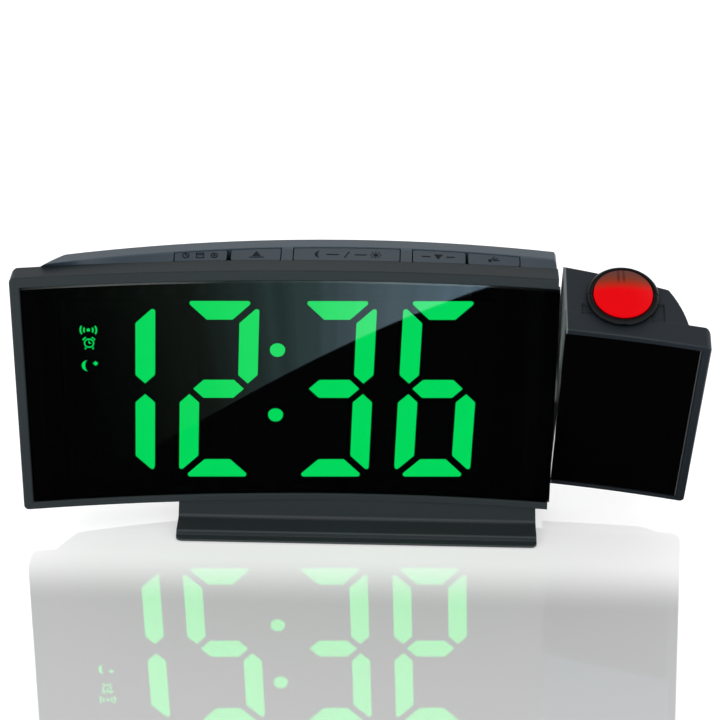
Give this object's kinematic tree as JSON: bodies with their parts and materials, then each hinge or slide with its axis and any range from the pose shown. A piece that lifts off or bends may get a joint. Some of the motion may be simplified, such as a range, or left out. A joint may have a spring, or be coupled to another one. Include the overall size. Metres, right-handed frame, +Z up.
{
  "type": "projection alarm clock",
  "caption": "Bedside alarm clock with a hollow-curved dark display, sloping top keys, a shallow foot and, at its right end, a tilting projector head with a focus ring and lens.",
  "frame": {"origin": "on the resting plane, under the middle of the whole clock's extents", "axes": "+X from left to right as the user sees the clock, +Y from the display towards the back, +Z up"},
  "size_m": [0.208, 0.0601, 0.0938],
  "materials": {
    "case_plastic": "fine matt moulded surface",
    "key_plastic": "fine matt moulded surface",
    "smoked_window": "polished, smoked",
    "gloss_panel": "polished black",
    "lit_segment": "glowing diffuser",
    "dark_segment": "unlit diffuser",
    "indicator": "glowing diffuser",
    "light_box": "matt black",
    "circuit_board": "solder mask",
    "component_black": "moulded",
    "led_package": "moulded",
    "steel": "bright",
    "contact_metal": "plated spring steel",
    "battery_sleeve": "shrink sleeve",
    "pad_rubber": "matt",
    "bush_plastic": "low-friction",
    "shaft_plastic": "moulded",
    "ring_plastic": "satin",
    "tinted_lens": "polished",
    "clear_optic": "polished",
    "screen_glass": "polished",
    "red_led": "moulded",
    "lead_sheath": "matt",
    "sounder_case": "moulded"
  },
  "bodies": {
    "clock": {"front_bezel": "case_plastic", "display_window": "smoked_window", "rear_housing": "case_plastic", "housing_screws": "steel", "foot": "case_plastic", "foot_pads": "pad_rubber", "foot_screws": "steel", "display_frame": "light_box", "lit_segments": "lit_segment", "dark_segments": "dark_segment", "indicator_lenses": "indicator", "led_board": "circuit_board", "display_leds": "led_package", "display_screws": "steel", "main_board": "circuit_board", "board_parts": "component_black", "board_screws": "steel", "key_board": "circuit_board", "key_switches": "component_black", "usb_socket": "steel", "power_inlet": "component_black", "sounder": "sounder_case", "battery_cells": "battery_sleeve", "battery_contacts": "contact_metal", "pivot_bush": "bush_plastic", "projector_lead": "lead_sheath"},
    "projector": {"projector_bezel": "case_plastic", "projector_panel": "gloss_panel", "projector_shell": "case_plastic", "pivot_shaft": "shaft_plastic", "pivot_screws": "steel", "retaining_clip": "contact_metal", "friction_spring": "contact_metal", "swivel_washer": "bush_plastic", "lens_tube": "component_black", "tube_screws": "steel", "time_screen": "screen_glass", "condenser_lens": "clear_optic", "projector_led": "red_led", "projector_board": "circuit_board", "lead_plug": "bush_plastic", "projector_screws": "steel"},
    "focus": {"focus_ring": "ring_plastic", "projection_lens": "tinted_lens"},
    "mode_key_body": {"mode_key": "key_plastic"},
    "up_key_body": {"up_key": "key_plastic"},
    "snooze_key_body": {"snooze_key": "key_plastic"},
    "down_key_body": {"down_key": "key_plastic"},
    "projector_key_body": {"projector_key": "key_plastic"},
    "door": {"battery_door": "case_plastic"}
  },
  "joints": [
    {"name": "projector_tilt", "type": "hinge", "parent": "clock", "child": "projector", "pos_m": [0.0617, 0.0021, 0.0505], "axis": [1, 0, 0], "range_deg": [-114.4, 65.6]},
    {"name": "focus_turn", "type": "hinge", "parent": "projector", "child": "focus", "pos_m": [0.0785, -0.01399, 0.08767], "axis": [0, -0.4131, 0.9107], "range_deg": [-60, 60]},
    {"name": "mode_press", "type": "slide", "parent": "clock", "child": "mode_key_body", "axis": [0, 0, -1], "range_m": [0, 0.0005], "stiffness_N_per_m": 1500},
    {"name": "up_press", "type": "slide", "parent": "clock", "child": "up_key_body", "axis": [0, 0, -1], "range_m": [0, 0.0005], "stiffness_N_per_m": 1500},
    {"name": "snooze_press", "type": "slide", "parent": "clock", "child": "snooze_key_body", "axis": [0, 0, -1], "range_m": [0, 0.0005], "stiffness_N_per_m": 1500},
    {"name": "down_press", "type": "slide", "parent": "clock", "child": "down_key_body", "axis": [0, 0, -1], "range_m": [0, 0.0005], "stiffness_N_per_m": 1500},
    {"name": "projector_press", "type": "slide", "parent": "clock", "child": "projector_key_body", "axis": [0, 0, -1], "range_m": [0, 0.0005], "stiffness_N_per_m": 1500},
    {"name": "battery_door_lift", "type": "slide", "parent": "clock", "child": "door", "axis": [0, 1, 0], "range_m": [0, 0.012]}
  ]
}
